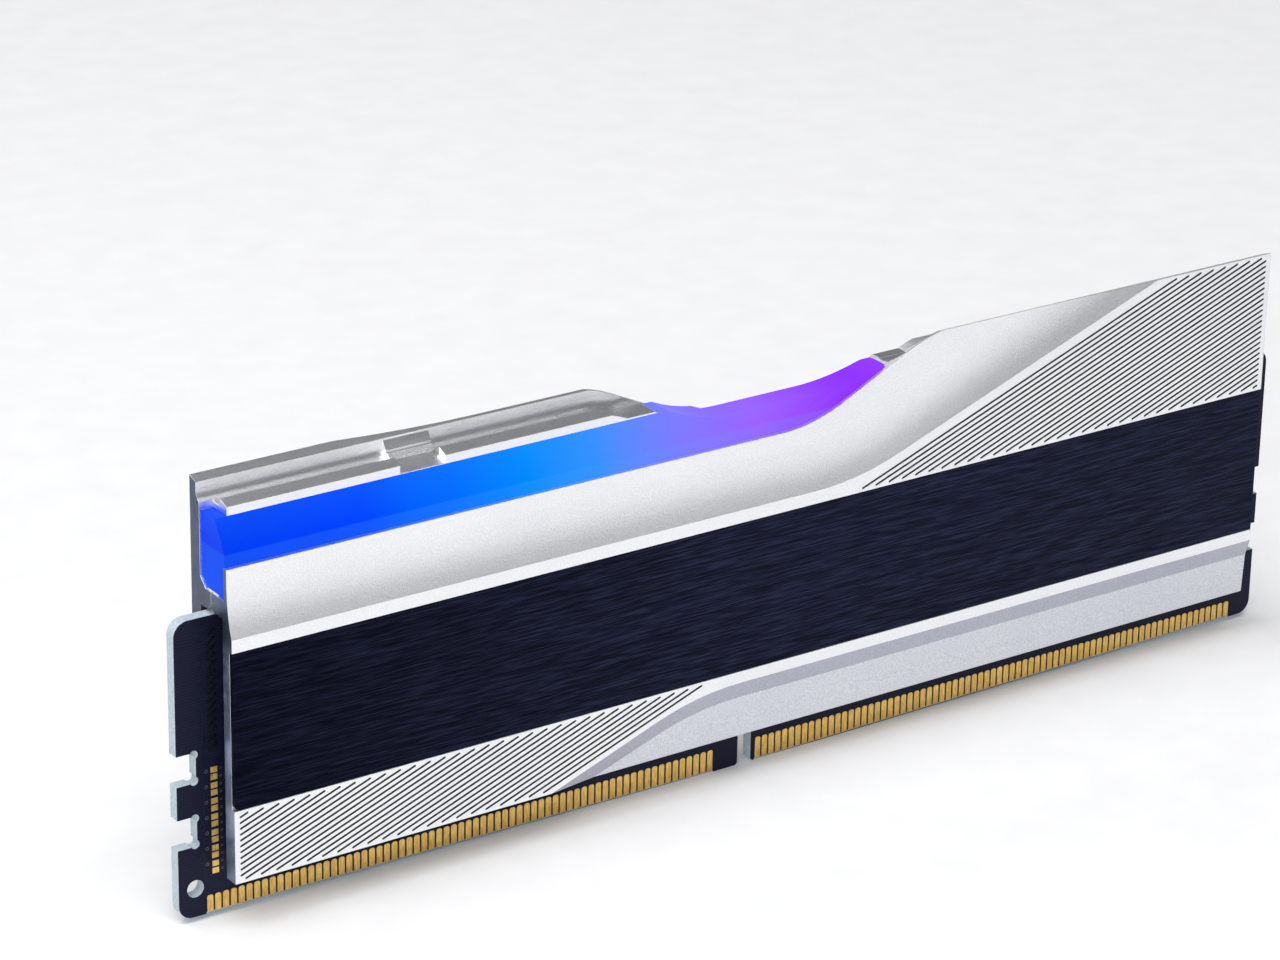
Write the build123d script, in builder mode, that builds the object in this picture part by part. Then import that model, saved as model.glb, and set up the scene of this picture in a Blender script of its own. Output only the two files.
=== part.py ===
from build123d import *
import os
from math import cos, radians, sin, sqrt, tan

os.makedirs("parts", exist_ok=True)

# A memory module with a two-half aluminium heat spreader and a lit bar along its top.
# X runs along the module, Z is up, and the face with the memory packages looks along -Y.
# The origin is the middle of the circuit board's lower edge.

# Circuit board
board_length = 133.35
board_height = 31.25
board_thickness = 1.27
board_corner_radius = 1.5
edge_rise = 0.6
edge_flat_length = 16.0
key_centre_x = -1.27
key_width = 1.65
key_height = 5.8
key_mouth_radius = 0.4
latch_notch_heights = (9.52, 16.12)
latch_notch_width = 3.14
latch_notch_depth = 2.1
latch_relief_radius = 0.45
hole_diameter = 1.8
hole_inset = 1.8
hole_height = 3.55
lead_in_height = 0.2
lead_in_depth = 0.13

# Gold contacts
contact_pitch = 0.85
contact_width = 0.65
contact_top = 2.5
contact_thickness = 0.04
contact_tip_radius = 0.24
contact_edge_gap = 0.2
contact_end_margin = 3.35
contact_key_margin_left = 4.255
contact_key_margin_right = 1.695
end_pad_width = 0.7
end_pad_height = 0.58
end_pad_step = 0.75
end_pad_pair_pitch = 1.63
end_pad_pairs = 7
end_pad_inset = 4.0
end_pad_start_z = 4.93

# Parts soldered to the board
package_width = 9.0
package_length = 11.0
package_height = 1.1
package_pitch = 12.2
package_centre_z = 17.0
package_edge_radius = 0.12
packages_per_side = 4
package_inner_gap = 9.6
ball_diameter = 0.42
ball_height = 0.26
ball_pitch = 0.8
ball_rows = 13
ball_columns = 6
ball_centre_gap = 2.4
controller_size = 5.0
controller_height = 0.85
controller_z = 17.0
chip_edge = 0.1
inductor_length = 3.2
inductor_width = 2.5
inductor_height = 1.2
inductor_edge = 0.2
inductor_x = 5.2
inductor_pitch = 3.6
hub_length = 3.0
hub_width = 2.0
hub_height = 0.75
hub_z = 25.2
capacitor_length = 1.0
capacitor_width = 0.5
capacitor_height = 0.5
capacitor_terminal = 0.25
capacitor_body_width = 0.44
capacitor_body_height = 0.46
capacitor_row_gap = 1.3
capacitor_shifts = (-3.0, -1.0, 1.0, 3.0)
power_capacitor_shifts = (1.0, 2.6)
power_capacitor_rows = (1.6, 2.8, 4.0)
resistor_length = 2.0
resistor_width = 1.0
resistor_height = 0.45
resistor_z = 9.6
resistor_shifts = (-3.2, 0, 3.2)
resistor_notch_radius = 0.16
resistor_notch_overhang = 0.06
led_length = 3.0
led_width = 1.0
led_height = 1.3
led_count = 10
led_pitch = 12.2
led_board_gap = 0.2
led_driver_size = 3.0
led_driver_height = 0.75
led_driver_x = -8.2

# Heat spreader
spreader_end_inset = 4.0
spreader_bottom = 5.0
arm_rise = 3.3
ramp_rise = 7.2
spreader_wall = 1.65
front_pad_thickness = 1.015
rear_pad_thickness = 0.615
pad_height = 15.0
ramp_angle = 24.9
ramp_foot_x = 4.0
ramp_foot_radius = 17.0
ramp_top_radius = 14.0
top_face_angle = 20.0
top_face_width = 1.1

# Inlaid plate
insert_bottom = 12.55
insert_top = 28.7
insert_depth = 0.45
insert_thickness = 0.33
insert_glue = 0.07
insert_clearance = 0.04
insert_corner_radius = 0.7

# Hollowed band above the plate and stepped band below it
swoosh_angle = 20.0
swoosh_radius = 30.0
band_height = 1.35
scoop_corner_x = 9.05
scoop_depth = 0.8
scoop_curvature_radius = 16.0
step_corner_x = -9.9
step_top = 11.3
step_bevel_height = 1.9
step_depth = 0.6
step_draft = 3.3

# Engraved stripes
stripe_rise = 0.608
stripe_width = 0.22
stripe_depth = 0.12
stripe_margin = 0.35
stripe_end_margin = 0.55
stripe_start_lower = -9.4
stripe_start_upper = 9.7

# Channel for the lit bar, between the two halves
web_clearance = 0.4
web_thickness = 1.85
web_chamfer = 1.0
web_void = 0.6
joint_gap = 0.1
arm_wall = 1.3
arm_end_gap = 0.05
lip_edge = -0.6
lip_thickness = 1.3
lip_end_inset = 1.45
lip_foot_gap = 3.8
lip_foot_radius = 11.0
lip_skirt = 0.2
lip_skirt_start = 0.15
lip_embed = 0.4
trench_edge = 0.55
trench_depth = 2.4
trench_skirt_cut = 0.05
trench_bend_radius = 8.0
trench_fillet = 1.2
slot_start_x = 37.6
slot_width = 5.0
slot_lip_left = 0.1
slot_floor_rise = 0.2
slot_curve_rise = 0.9
window_length = 5.0
window_depth = 1.1

# Lit bar
bar_clearance = 0.08
bar_end_inset = 0.2
bar_drop = 3.0
bar_valley_depth = 1.65
bar_corner_lead = 1.0
bar_bevel_height = 3.0
bar_tape_thickness = 0.15

# Places that follow from the sizes above
half_board = board_length / 2
board_face = board_thickness / 2
front_inner = board_face + package_height + front_pad_thickness
rear_inner = board_face + rear_pad_thickness
cavity_half = (front_inner + rear_inner) / 2
shell_y = -(front_inner - rear_inner) / 2
shell_half = cavity_half + spreader_wall
half_spreader = half_board - spreader_end_inset
web_bottom = board_height + web_clearance
web_top = web_bottom + web_thickness
arm_height = web_top + arm_rise
arm_inner = shell_half - arm_wall
overall_height = arm_height + ramp_rise
ramp_slope = tan(radians(ramp_angle))
ramp_top_x = ramp_foot_x + ramp_rise / ramp_slope
bar_top = overall_height - bar_drop
arm_end_x = ramp_foot_x + (bar_top - arm_height) / ramp_slope + arm_end_gap
lip_bottom = bar_top + bar_clearance / 2
wall_top_inner = shell_half - top_face_width
swoosh_slope = tan(radians(swoosh_angle))
led_rows = [(index - (led_count - 1) / 2) * led_pitch for index in range(led_count)]
past = 1.0


def board_plane(side, gap=0.0):
    """Sketch plane on a face of the board: side -1 is the package face, +1 the rear face."""
    if side < 0:
        return Plane.XZ.offset(board_face + gap)
    return Plane((0, board_face + gap, 0), x_dir=(-1, 0, 0), z_dir=(0, 1, 0))


def edge_height(x):
    """Height of the board's lower edge, which rises towards both ends."""
    run = max(abs(x) - edge_flat_length / 2, 0)
    return edge_rise * run / (half_board - edge_flat_length / 2)


def write(sub_part, name):
    """Label a finished sub-part and write its STEP file."""
    sub_part.part.label = name
    export_step(sub_part.part, f"parts/{name}.step")


# ---------------------------------------------------------------- circuit board
with BuildPart() as circuit_board:
    with BuildSketch(Plane.XZ.offset(-board_face)) as board_outline:
        with BuildLine():
            Polyline(
                (-half_board, edge_rise),
                (-edge_flat_length / 2, 0),
                (edge_flat_length / 2, 0),
                (half_board, edge_rise),
                (half_board, board_height),
                (-half_board, board_height),
                close=True,
            )
        make_face()
        ends = board_outline.vertices().group_by(Axis.X)
        fillet(ends[0] + ends[-1], board_corner_radius)
        with Locations((key_centre_x, 0)):
            Rectangle(key_width, 2 * (key_height - key_width / 2), mode=Mode.SUBTRACT)
        with Locations((key_centre_x, key_height - key_width / 2)):
            Circle(key_width / 2, mode=Mode.SUBTRACT)
        for end in (-1, 1):
            for height in latch_notch_heights:
                with Locations((end * half_board, height)):
                    Rectangle(2 * latch_notch_depth, latch_notch_width, mode=Mode.SUBTRACT)
                    relief_x = latch_notch_depth - latch_relief_radius / 2
                    relief_z = latch_notch_width / 2 - latch_relief_radius / 2
                    with GridLocations(2 * relief_x, 2 * relief_z, 2, 2):
                        Circle(latch_relief_radius, mode=Mode.SUBTRACT)
        with Locations((-half_board + hole_inset, hole_height)):
            Circle(hole_diameter / 2, mode=Mode.SUBTRACT)
        key_mouth = board_outline.vertices().filter_by(
            lambda corner: abs(corner.Y) < 0.01 and abs(corner.X - key_centre_x) < key_width
        )
        fillet(key_mouth, key_mouth_radius)
    extrude(amount=board_thickness)

left_contacts_x = key_centre_x - contact_key_margin_left
right_contacts_x = key_centre_x + contact_key_margin_right
left_count = int((left_contacts_x + half_board - contact_end_margin) / contact_pitch + 0.01) + 1
right_count = int((half_board - contact_end_margin - right_contacts_x) / contact_pitch + 0.01) + 1
left_columns = [left_contacts_x - index * contact_pitch for index in range(left_count)]
right_columns = [right_contacts_x + index * contact_pitch for index in range(right_count)]

with BuildPart() as lead_in_cutter:
    for columns in (left_columns, right_columns):
        start_x = min(columns) - contact_pitch / 2
        end_x = max(columns) + contact_pitch / 2
        for side in (-1, 1):
            face_y = side * board_face
            inner_y = side * (board_face - lead_in_depth)
            outer_y = side * (board_face + past)
            spill = past * lead_in_height / lead_in_depth
            low_start = edge_height(start_x)
            low_end = edge_height(end_x)
            for x, low in ((start_x, low_start), (end_x, low_end)):
                with BuildSketch(Plane.YZ.offset(x)):
                    with BuildLine():
                        Polyline(
                            (inner_y, low - past),
                            (inner_y, low),
                            (face_y, low + lead_in_height),
                            (outer_y, low + lead_in_height + spill),
                            (outer_y, low - past),
                            close=True,
                        )
                    make_face()
            loft(ruled=True)

with BuildPart() as board:
    add(circuit_board.part)
    add(lead_in_cutter.part, mode=Mode.SUBTRACT)
write(board, "circuit_board")


# ---------------------------------------------------------------- contacts
def contact_row(columns, side):
    """One gold finger on each column, from just above the board's edge to one level line."""
    with BuildPart() as row:
        with BuildSketch(board_plane(side)) as fingers:
            for x in columns:
                finger_length = contact_top - edge_height(x) - contact_edge_gap
                with Locations((-side * x, contact_top)):
                    Rectangle(contact_width, finger_length, align=(Align.CENTER, Align.MAX))
            fillet(fingers.vertices().group_by(Axis.Y)[-1], contact_tip_radius)
        extrude(amount=contact_thickness)
    return row


write(contact_row(left_columns, -1), "contacts_front_left")
write(contact_row(right_columns, -1), "contacts_front_right")
write(contact_row(left_columns, 1), "contacts_rear_left")
write(contact_row(right_columns, 1), "contacts_rear_right")

with BuildPart() as end_pads:
    with BuildSketch(board_plane(-1)):
        for pair in range(end_pad_pairs):
            for step in (0, end_pad_step):
                pad_z = end_pad_start_z + pair * end_pad_pair_pitch + step
                with Locations((-half_board + end_pad_inset, pad_z)):
                    Rectangle(end_pad_width, end_pad_height)
    extrude(amount=contact_thickness)
write(end_pads, "end_pads")

# ---------------------------------------------------------------- memory packages
package_columns = [
    side * (package_inner_gap + package_width / 2 + index * package_pitch)
    for side in (-1, 1)
    for index in range(packages_per_side)
]
package_places = [(x, package_centre_z) for x in package_columns]

with BuildPart() as memory_packages:
    with BuildSketch(board_plane(-1, ball_height)):
        with Locations(*package_places):
            Rectangle(package_width, package_length)
    extrude(amount=package_height - ball_height)
    package_faces = memory_packages.faces().group_by(Axis.Y)[0]
    fillet(package_faces.edges(), package_edge_radius)
write(memory_packages, "memory_packages")

with BuildPart() as package_balls:
    with BuildSketch(board_plane(-1)):
        bank_centre = (ball_centre_gap + (ball_columns / 2 - 1) * ball_pitch) / 2
        for x in package_columns:
            for bank in (-1, 1):
                with Locations((x + bank * bank_centre, package_centre_z)):
                    with GridLocations(ball_pitch, ball_pitch, ball_columns // 2, ball_rows):
                        Circle(ball_diameter / 2)
    extrude(amount=ball_height)
write(package_balls, "package_balls")


# ---------------------------------------------------------------- power and control parts
def chips(places, length, height, thickness, edge):
    """Flat packages on the package face, with their upper edges broken."""
    with BuildPart() as group:
        with BuildSketch(board_plane(-1)):
            with Locations(*places):
                Rectangle(length, height)
        extrude(amount=thickness)
        chamfer(group.faces().group_by(Axis.Y)[0].edges(), edge)
    return group


led_z = board_height - led_board_gap - led_height / 2
controller_place = [(0, controller_z)]
hub_place = [(0, hub_z)]
led_driver_place = [(led_driver_x, hub_z)]
inductor_places = [
    (side * inductor_x, controller_z + row * inductor_pitch / 2) for side in (-1, 1) for row in (-1, 1)
]
led_places = [(x, led_z) for x in led_rows]
controller = chips(controller_place, controller_size, controller_size, controller_height, chip_edge)
hub = chips(hub_place, hub_length, hub_width, hub_height, chip_edge)
led_driver = chips(led_driver_place, led_driver_size, led_driver_size, led_driver_height, chip_edge)
inductors = chips(inductor_places, inductor_length, inductor_width, inductor_height, inductor_edge)
leds = chips(led_places, led_length, led_height, led_width, chip_edge)
write(controller, "power_controller")
write(hub, "data_hub")
write(led_driver, "light_controller")
write(inductors, "power_inductors")
write(leds, "rgb_leds")


def capacitors(side, places):
    """Ceramic capacitors: a body between two end caps, as one solid each."""
    cap_x = (capacitor_length - capacitor_terminal) / 2
    with BuildPart() as group:
        with BuildSketch(board_plane(side)):
            with Locations(*places):
                Rectangle(capacitor_length - 2 * capacitor_terminal, capacitor_body_width)
        extrude(amount=capacitor_body_height)
        with BuildSketch(board_plane(side)):
            with Locations(*places):
                with GridLocations(2 * cap_x, 1, 2, 1):
                    Rectangle(capacitor_terminal, capacitor_width)
        extrude(amount=capacitor_height)
    return group


package_top = package_centre_z + package_length / 2
upper_cap_z = package_top + capacitor_row_gap
upper_caps = [(x + shift, upper_cap_z) for x in package_columns for shift in capacitor_shifts]
power_caps = [
    (side * shift, controller_z - controller_size / 2 - row)
    for side in (-1, 1)
    for shift in power_capacitor_shifts
    for row in power_capacitor_rows
]
write(capacitors(-1, upper_caps), "package_capacitors")
write(capacitors(-1, power_caps), "power_capacitors")

with BuildPart() as resistor_arrays:
    array_places = [(x + shift, resistor_z) for x in package_columns for shift in resistor_shifts]
    notch_span = resistor_width + 2 * resistor_notch_overhang
    with BuildSketch(board_plane(-1)):
        with Locations(*array_places):
            Rectangle(resistor_length, resistor_width)
            with GridLocations(resistor_length / 4, notch_span, 4, 2):
                Circle(resistor_notch_radius, mode=Mode.SUBTRACT)
    extrude(amount=resistor_height)
write(resistor_arrays, "resistor_arrays")

# ---------------------------------------------------------------- thermal pads
pad_side_length = (packages_per_side - 1) * package_pitch + package_width
pad_side_centre = package_inner_gap + pad_side_length / 2

with BuildPart() as front_pads:
    with BuildSketch(board_plane(-1, package_height)):
        with Locations((-pad_side_centre, package_centre_z), (pad_side_centre, package_centre_z)):
            Rectangle(pad_side_length, package_length)
    extrude(amount=front_pad_thickness)
write(front_pads, "front_thermal_pads")

with BuildPart() as power_pad:
    with BuildSketch(board_plane(-1, inductor_height)):
        with Locations((0, controller_z)):
            Rectangle(2 * inductor_x + inductor_length, inductor_pitch + inductor_width)
    extrude(amount=front_inner - board_face - inductor_height)
    with BuildSketch(board_plane(-1, controller_height)):
        with Locations((0, controller_z)):
            Rectangle(controller_size, controller_size)
    extrude(amount=inductor_height - controller_height)
write(power_pad, "power_thermal_pad")

with BuildPart() as rear_pad:
    with BuildSketch(board_plane(1)):
        with Locations((0, package_centre_z)):
            Rectangle(2 * (pad_side_centre + pad_side_length / 2), pad_height)
    extrude(amount=rear_pad_thickness)
write(rear_pad, "rear_thermal_pad")


# ---------------------------------------------------------------- heat spreader half
# One half is modelled with its outer face towards -Y and the shell's mid-plane at Y = 0.
# Both halves are this shape: the rear one is turned half a turn about Z.


def depth_plane(depth):
    """Sketch plane across the shell, `depth` outward from its mid-plane."""
    return Plane.XZ.offset(depth)


def under_bend(corner_x, corner_z, angle, below):
    """Corner of a bent line that runs `below` under the one with the given corner."""
    return corner_x + below * tan(radians(angle / 2)), corner_z - below


def above_bend(corner_x, corner_z, slope, top):
    """Corners of the region above a line that is level and then rises from its corner."""
    start_x = -half_spreader - past
    return [
        (start_x, corner_z),
        (corner_x, corner_z),
        (corner_x + (top - corner_z) / slope, top),
        (start_x, top),
    ]


def below_bend(corner_x, corner_z, slope, low):
    """Corners of the region below a line that rises to its corner and is level from there."""
    end_x = half_spreader + past
    return [
        (corner_x - (corner_z - low) / slope, low),
        (corner_x, corner_z),
        (end_x, corner_z),
        (end_x, low),
    ]


with BuildPart() as plain_half:
    with BuildSketch(depth_plane(cavity_half)):
        with BuildLine():
            FilletPolyline(
                (-half_spreader, spreader_bottom),
                (-half_spreader, arm_height),
                (ramp_foot_x, arm_height),
                (ramp_top_x, overall_height),
                (half_spreader, overall_height),
                (half_spreader, spreader_bottom),
                radius=[0, 0, ramp_foot_radius, ramp_top_radius, 0, 0],
                close=True,
            )
        make_face()
    extrude(amount=spreader_wall)

# The outer face is hollowed above the swoosh line by a cutter with one large rolled edge.
scoop_reach = sqrt(2 * scoop_curvature_radius * scoop_depth - scoop_depth**2)
scoop_offset = scoop_curvature_radius - scoop_reach
scoop_edge_z = insert_top + band_height
scoop_x, scoop_z = under_bend(scoop_corner_x, scoop_edge_z, swoosh_angle, scoop_offset)

with BuildPart() as scoop_cutter:
    with BuildSketch(depth_plane(shell_half - scoop_depth)):
        with BuildLine():
            FilletPolyline(
                *above_bend(scoop_x, scoop_z, swoosh_slope, overall_height + past),
                radius=[0, swoosh_radius + scoop_offset, 0, 0],
                close=True,
            )
        make_face()
    extrude(amount=scoop_curvature_radius + past)
    floor_edges = scoop_cutter.faces().sort_by(Axis.Y)[-1].edges()
    upright = floor_edges.filter_by(Axis.Z)
    swoosh_edges = [edge for edge in floor_edges.sort_by(Axis.Z)[:-1] if edge not in upright]
    fillet(swoosh_edges, scoop_curvature_radius)

# Below the plate the face steps back over a bevel to a band that leans slightly inward.
step_low = spreader_bottom - past
step_x, step_z = under_bend(step_corner_x, step_top, swoosh_angle, step_bevel_height)
lean = radians(step_draft)
step_plane = Plane(
    origin=(0, -(shell_half - step_depth), step_z),
    x_dir=(1, 0, 0),
    z_dir=(0, -cos(lean), -sin(lean)),
)

with BuildPart() as step_cutter:
    with BuildSketch(depth_plane(shell_half)):
        with BuildLine():
            FilletPolyline(
                *below_bend(step_corner_x, step_top, swoosh_slope, step_low),
                radius=[0, swoosh_radius, 0, 0],
                close=True,
            )
        make_face()
    with BuildSketch(step_plane):
        with BuildLine():
            FilletPolyline(
                *below_bend(step_x, 0, swoosh_slope, step_low - step_z),
                radius=[0, swoosh_radius - step_bevel_height, 0, 0],
                close=True,
            )
        make_face()
    loft(ruled=True)


def stripe_lines(start_x, start_z, low, high, from_x, to_x, toward):
    """Parallel stripe centre lines inside a rectangle, stepping sideways from the first one."""
    lines = []
    step = stripe_rise / swoosh_slope
    x = start_x
    while (x > from_x) if toward < 0 else (x < to_x):
        left_x = max(x + (low - start_z) / swoosh_slope, from_x)
        right_x = min(x + (high - start_z) / swoosh_slope, to_x)
        left = (left_x, start_z + (left_x - x) * swoosh_slope)
        right = (right_x, start_z + (right_x - x) * swoosh_slope)
        if right_x - left_x > 2 * stripe_width:
            lines.append((left, right))
        x += toward * step
    return lines


lower_low = spreader_bottom + stripe_margin
lower_high = insert_bottom - stripe_margin
upper_low = insert_top + stripe_margin
upper_high = overall_height - stripe_margin
stripe_end = half_spreader - stripe_end_margin
lower_stripes = stripe_lines(
    stripe_start_lower, lower_high, lower_low, lower_high, -stripe_end, half_spreader, -1
)
upper_stripes = stripe_lines(
    stripe_start_upper, upper_low, upper_low, upper_high, -half_spreader, stripe_end, 1
)

with BuildPart() as stripe_cutter:
    with BuildSketch(depth_plane(shell_half - stripe_depth)):
        for left, right in lower_stripes + upper_stripes:
            run = sqrt((right[0] - left[0]) ** 2 + (right[1] - left[1]) ** 2)
            middle = ((left[0] + right[0]) / 2, (left[1] + right[1]) / 2)
            with Locations(Location((*middle, 0), (0, 0, swoosh_angle))):
                SlotCenterToCenter(run - stripe_width, stripe_width)
    extrude(amount=stripe_depth + past)

# Lip over the lit bar: a raised rim along the channel, with a trench between rim and wall.
# Beside the wall's ramp the rim runs down to a thin skirt that still covers the bar.
lip_end_x = half_spreader - lip_end_inset
lip_top = lip_bottom + lip_thickness
top_face_slope = tan(radians(top_face_angle))
rim_front = lip_top - (trench_edge - lip_edge) * top_face_slope
lip_root = cavity_half + lip_embed
lip_foot_x = arm_end_x + lip_foot_gap
lip_start_x = arm_end_x + lip_skirt_start
skirt_top = lip_bottom + lip_skirt

with BuildPart() as lip:
    with BuildSketch(Plane.YZ.offset(ramp_foot_x)):
        with BuildLine():
            Polyline(
                (-lip_root, lip_bottom),
                (-lip_edge, lip_bottom),
                (-lip_edge, rim_front),
                (-trench_edge, lip_top),
                (-lip_root, lip_top),
                close=True,
            )
        make_face()
    extrude(amount=lip_end_x - ramp_foot_x)
    with BuildSketch(depth_plane(lip_edge - past)):
        with BuildLine():
            FilletPolyline(
                (lip_start_x, lip_bottom),
                (lip_start_x + lip_skirt / ramp_slope, skirt_top),
                (lip_foot_x, skirt_top),
                (lip_foot_x + (lip_thickness - lip_skirt) / ramp_slope, lip_top),
                (lip_end_x + past, lip_top),
                (lip_end_x + past, lip_bottom),
                radius=[0, 0, 0, lip_foot_radius, 0, 0],
                close=True,
            )
        make_face()
    extrude(amount=shell_half + 2 * past, mode=Mode.INTERSECT)

trench_floor = overall_height - trench_depth
slot_end_x = slot_start_x + slot_width
trench_ends = [(arm_end_x, slot_start_x), (slot_end_x, half_spreader + past)]


def trench_cutter(start_x, end_x):
    """Cutter between rim and wall, rolled up to the wall, with its floor lower along the skirt."""
    high = overall_height + past
    skirt_floor = skirt_top - trench_skirt_cut
    with BuildPart() as cutter:
        with BuildSketch(depth_plane(trench_edge)):
            with BuildLine():
                if start_x < ramp_top_x:
                    FilletPolyline(
                        (arm_end_x, skirt_floor),
                        (lip_foot_x, skirt_floor),
                        (ramp_top_x, trench_floor),
                        (end_x, trench_floor),
                        (end_x, high),
                        (arm_end_x, high),
                        radius=[0, trench_bend_radius, trench_bend_radius, 0, 0, 0],
                        close=True,
                    )
                else:
                    Polyline(
                        (start_x, trench_floor),
                        (end_x, trench_floor),
                        (end_x, high),
                        (start_x, high),
                        close=True,
                    )
            make_face()
        extrude(amount=wall_top_inner - trench_edge)
        wall_side = cutter.faces().sort_by(Axis.Y)[0].edges()
        rolled = wall_side.filter_by(lambda edge: edge.center().Z < overall_height - past)
        open_ends = [arm_end_x, half_spreader + past]
        rolled = rolled.filter_by(
            lambda edge: min(abs(edge.center().X - end) for end in open_ends) > 0.01
        )
        fillet(rolled, trench_fillet)
    return cutter


trenches = [trench_cutter(*ends).part for ends in trench_ends]

# Across the slot between the two rims the wall slopes straight down to the lit bar.
slot_wall_top = (-wall_top_inner, overall_height - trench_fillet / 2)
slot_curve_middle = (-(wall_top_inner - trench_fillet / 2), trench_floor + slot_curve_rise)
slot_curve_foot = (-(trench_edge + trench_fillet / 2), trench_floor + slot_floor_rise)

with BuildPart() as slot_cutter:
    with BuildSketch(Plane.YZ.offset(slot_start_x)):
        with BuildLine():
            Polyline(
                slot_wall_top,
                (-wall_top_inner, overall_height + past),
                (-lip_edge + past, overall_height + past),
                (-lip_edge + past, lip_bottom),
                (-lip_edge, lip_bottom + slot_lip_left),
                slot_curve_foot,
            )
            ThreePointArc(slot_curve_foot, slot_curve_middle, slot_wall_top)
        make_face()
    extrude(amount=slot_width)

with BuildPart() as web:
    with BuildSketch(Plane.YZ):
        with BuildLine():
            Polyline(
                (-lip_root, web_bottom),
                (-(joint_gap / 2 + web_void), web_bottom),
                (-joint_gap / 2, web_bottom + web_void),
                (-joint_gap / 2, web_top),
                (-(cavity_half - web_chamfer), web_top),
                (-cavity_half, web_top + web_chamfer),
                (-lip_root, web_top + web_chamfer),
                close=True,
            )
        make_face()
    extrude(amount=half_spreader, both=True)

with BuildPart() as window_cutter:
    with BuildSketch(Plane.XY.offset(web_bottom - past)):
        with Locations(*[(x, 0) for x in led_rows]):
            Rectangle(window_length, 2 * window_depth)
    extrude(amount=web_thickness + 2 * past)

with BuildPart() as arm_cutter:
    with BuildSketch(Plane.XY.offset(web_top)):
        arm_length = arm_end_x + half_spreader + past
        with Locations((arm_end_x - arm_length / 2, 0)):
            Rectangle(arm_length, 2 * arm_inner)
    extrude(amount=overall_height)

with BuildPart() as top_face_cutter:
    with BuildSketch(Plane.YZ):
        with BuildLine():
            Polyline(
                (-shell_half, overall_height),
                (past, overall_height - (shell_half + past) * top_face_slope),
                (past, overall_height + past),
                (-shell_half, overall_height + past),
                close=True,
            )
        make_face()
    extrude(amount=half_spreader + past, both=True)

with BuildPart() as insert_cutter:
    with BuildSketch(depth_plane(shell_half - insert_depth)):
        with Locations((0, (insert_bottom + insert_top) / 2)):
            Rectangle(2 * (half_spreader + past), insert_top - insert_bottom)
    extrude(amount=insert_depth + past)

with BuildPart() as spreader_half:
    add(plain_half.part)
    add(web.part)
    add(arm_cutter.part, mode=Mode.SUBTRACT)
    add(lip.part)
    add(scoop_cutter.part, mode=Mode.SUBTRACT)
    add(step_cutter.part, mode=Mode.SUBTRACT)
    for trench in trenches:
        add(trench, mode=Mode.SUBTRACT)
    add(slot_cutter.part, mode=Mode.SUBTRACT)
    add(top_face_cutter.part, mode=Mode.SUBTRACT)
    add(window_cutter.part, mode=Mode.SUBTRACT)
    add(insert_cutter.part, mode=Mode.SUBTRACT)
    add(stripe_cutter.part, mode=Mode.SUBTRACT)

front_place = Location((0, shell_y, 0))
rear_place = Location((0, shell_y, 0), (0, 0, 180))


def placed(sub_part, place):
    """A copy of a piece of the shell at the front or the rear."""
    with BuildPart() as copy:
        with Locations(place):
            add(sub_part.part)
    return copy


write(placed(spreader_half, front_place), "front_spreader")
write(placed(spreader_half, rear_place), "rear_spreader")

# ---------------------------------------------------------------- inlaid plates
insert_height = insert_top - insert_bottom - 2 * insert_clearance
insert_centre = (0, (insert_bottom + insert_top) / 2)

with BuildPart() as insert_glue_film:
    with BuildSketch(depth_plane(shell_half - insert_depth)):
        with Locations(insert_centre):
            Rectangle(2 * (half_spreader - insert_corner_radius), insert_height - insert_corner_radius)
    extrude(amount=insert_glue)

with BuildPart() as insert_plate:
    with BuildSketch(depth_plane(shell_half - insert_depth + insert_glue)):
        with Locations(insert_centre):
            plate = Rectangle(2 * half_spreader, insert_height)
        left_corners = plate.vertices().group_by(Axis.X)[0]
        fillet(left_corners.sort_by(Axis.Y)[0], insert_corner_radius)
    extrude(amount=insert_thickness)

write(placed(insert_glue_film, front_place), "front_insert_glue")
write(placed(insert_glue_film, rear_place), "rear_insert_glue")
write(placed(insert_plate, front_place), "front_insert")
write(placed(insert_plate, rear_place), "rear_insert")

# ---------------------------------------------------------------- lit bar
bar_bottom = web_top + bar_tape_thickness
bar_end = half_spreader - bar_end_inset
bar_wall_side = cavity_half - bar_clearance
bar_arm_side = arm_inner - bar_clearance
bar_step_x = arm_end_x - bar_clearance
bar_bevel_edge = -lip_edge
bar_valley = bar_top - bar_valley_depth
bar_bevel_foot = bar_top - bar_bevel_height
bar_top_corner_x = arm_end_x - bar_corner_lead
valley_x = bar_top_corner_x - bar_valley_depth / ramp_slope

# Sloping face along one side: deepest near the end, running out where the other wall rises.
with BuildPart() as bevel_cutter:
    with BuildSketch(Plane.YZ.offset(-half_spreader - past)):
        bevel_run = (bar_arm_side - bar_bevel_edge) / (bar_top - bar_bevel_foot)
        with BuildLine():
            Polyline(
                (-bar_arm_side, bar_bevel_foot),
                (-(bar_bevel_edge - past * bevel_run), bar_top + past),
                (-(bar_arm_side + past), bar_top + past),
                (-(bar_arm_side + past), bar_bevel_foot),
                close=True,
            )
        make_face()
    extrude(amount=2 * half_spreader)
    with BuildSketch(Plane.XZ):
        with BuildLine():
            FilletPolyline(
                *above_bend(ramp_foot_x, bar_bevel_foot, ramp_slope, bar_top + past),
                radius=[0, ramp_foot_radius, 0, 0],
                close=True,
            )
        make_face()
    extrude(amount=2 * shell_half, mode=Mode.INTERSECT)

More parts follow.
